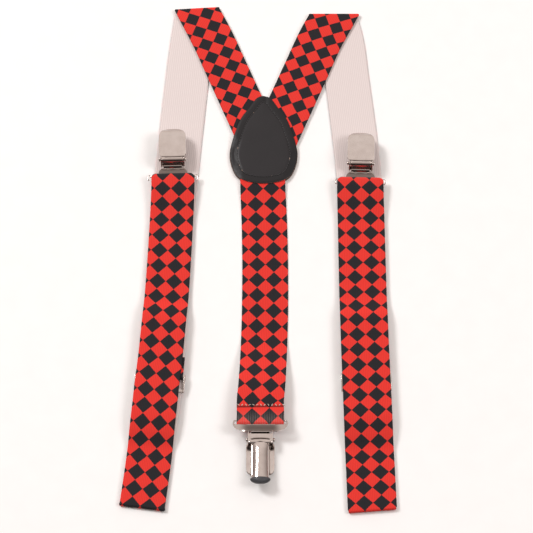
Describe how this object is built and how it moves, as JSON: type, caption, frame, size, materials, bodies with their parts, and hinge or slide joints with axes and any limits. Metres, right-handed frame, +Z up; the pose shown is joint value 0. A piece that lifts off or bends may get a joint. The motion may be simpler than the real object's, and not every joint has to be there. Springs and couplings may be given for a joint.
{
  "type": "suspenders",
  "caption": "Y-back elastic suspenders with a leatherette patch, metal lever clips and sliding adjusters, laid flat with the front straps folded up.",
  "frame": {"origin": "under the middle of the laid-out object, on the surface it lies on", "axes": "+Y along the object towards the shoulder folds, +X to the right with the printed face up, +Z up"},
  "size_m": [0.206, 0.432, 0.0139],
  "materials": {
    "webbing": "woven elastic webbing, red and black diamond check printed on the face, plain off-white reverse",
    "leatherette": "black grained leatherette with a sewn border",
    "leatherette_back": "plain black leatherette backing",
    "nickel": "bright nickel plating on pressed steel",
    "grip": "moulded dark grey plastic with ribs"
  },
  "bodies": {
    "straps": {"patch_back": "leatherette_back", "patch_front": "leatherette", "back_strap": "webbing", "left_strap_arm": "webbing", "left_strap_inner": "webbing", "left_strap_outer": "webbing", "left_strap_return": "webbing", "right_strap_arm": "webbing", "right_strap_inner": "webbing", "right_strap_outer": "webbing", "right_strap_return": "webbing"},
    "back_clip": {"back_clip_shell": "nickel", "back_clip_pin": "nickel", "back_clip_grip_fixed": "grip"},
    "back_lever": {"back_clip_lever": "nickel"},
    "back_jaw": {"back_clip_jaw": "nickel", "back_clip_grip_moving": "grip"},
    "left_clip": {"left_clip_shell": "nickel", "left_clip_pin": "nickel", "left_clip_grip_fixed": "grip"},
    "left_lever": {"left_clip_lever": "nickel"},
    "left_jaw": {"left_clip_jaw": "nickel", "left_clip_grip_moving": "grip"},
    "right_clip": {"right_clip_shell": "nickel", "right_clip_pin": "nickel", "right_clip_grip_fixed": "grip"},
    "right_lever": {"right_clip_lever": "nickel"},
    "right_jaw": {"right_clip_jaw": "nickel", "right_clip_grip_moving": "grip"},
    "left_adjuster": {"left_adjuster_frame": "nickel"},
    "left_flap": {"left_adjuster_flap": "nickel"},
    "right_adjuster": {"right_adjuster_frame": "nickel"},
    "right_flap": {"right_adjuster_flap": "nickel"}
  },
  "joints": [
    {"name": "back_clip_swing", "type": "hinge", "parent": "straps", "child": "back_clip", "pos_m": [0.0018, -0.1468, 0.00868], "axis": [-1, 0, 0], "range_deg": [0, 80]},
    {"name": "back_lever_hinge", "type": "hinge", "parent": "back_clip", "child": "back_lever", "pos_m": [0.0018, -0.1588, 0.00308], "axis": [1, 0, 0], "range_deg": [0, 110]},
    {"name": "back_jaw_hinge", "type": "hinge", "parent": "back_clip", "child": "back_jaw", "pos_m": [0.0018, -0.1548, 0.00868], "axis": [1, 0, 0], "range_deg": [0, 7.2]},
    {"name": "left_clip_swing", "type": "hinge", "parent": "straps", "child": "left_clip", "pos_m": [-0.0673, 0.0606, 0.00528], "axis": [0.9997, 0.0262, 0], "range_deg": [0, 80]},
    {"name": "left_lever_hinge", "type": "hinge", "parent": "left_clip", "child": "left_lever", "pos_m": [-0.06761, 0.07259, 0.01088], "axis": [0.9997, 0.0262, 0], "range_deg": [0, 110]},
    {"name": "left_jaw_hinge", "type": "hinge", "parent": "left_clip", "child": "left_jaw", "pos_m": [-0.06751, 0.06859, 0.00528], "axis": [0.9997, 0.0262, 0], "range_deg": [0, 7.2]},
    {"name": "right_clip_swing", "type": "hinge", "parent": "straps", "child": "right_clip", "pos_m": [0.0803, 0.0571, 0.00528], "axis": [0.9997, -0.0262, 0], "range_deg": [0, 80]},
    {"name": "right_lever_hinge", "type": "hinge", "parent": "right_clip", "child": "right_lever", "pos_m": [0.08062, 0.06909, 0.01088], "axis": [0.9997, -0.0262, 0], "range_deg": [0, 110]},
    {"name": "right_jaw_hinge", "type": "hinge", "parent": "right_clip", "child": "right_jaw", "pos_m": [0.08051, 0.06509, 0.00528], "axis": [0.9997, -0.0262, 0], "range_deg": [0, 7.2]},
    {"name": "left_adjuster_slide", "type": "slide", "parent": "straps", "child": "left_adjuster", "axis": [0.0837, 0.9965, 0], "range_m": [-0.02, 0.02], "deforming": ["left_strap_return"]},
    {"name": "left_flap_hinge", "type": "hinge", "parent": "left_adjuster", "child": "left_flap", "pos_m": [-0.07415, -0.10742, 0.00108], "axis": [0.9965, -0.0837, 0], "range_deg": [0, 95]},
    {"name": "right_adjuster_slide", "type": "slide", "parent": "straps", "child": "right_adjuster", "axis": [-0.0209, 0.9998, 0], "range_m": [-0.02, 0.02], "deforming": ["right_strap_return"]},
    {"name": "right_flap_hinge", "type": "hinge", "parent": "right_adjuster", "child": "right_flap", "pos_m": [0.08209, -0.1074, 0.00108], "axis": [0.9998, 0.0209, 0], "range_deg": [0, 95]}
  ],
  "couplings": [
    {"joint": "back_jaw_hinge", "follows": "back_lever_hinge", "ratio": 0.0636},
    {"joint": "left_jaw_hinge", "follows": "left_lever_hinge", "ratio": 0.0636},
    {"joint": "right_jaw_hinge", "follows": "right_lever_hinge", "ratio": 0.0636}
  ]
}
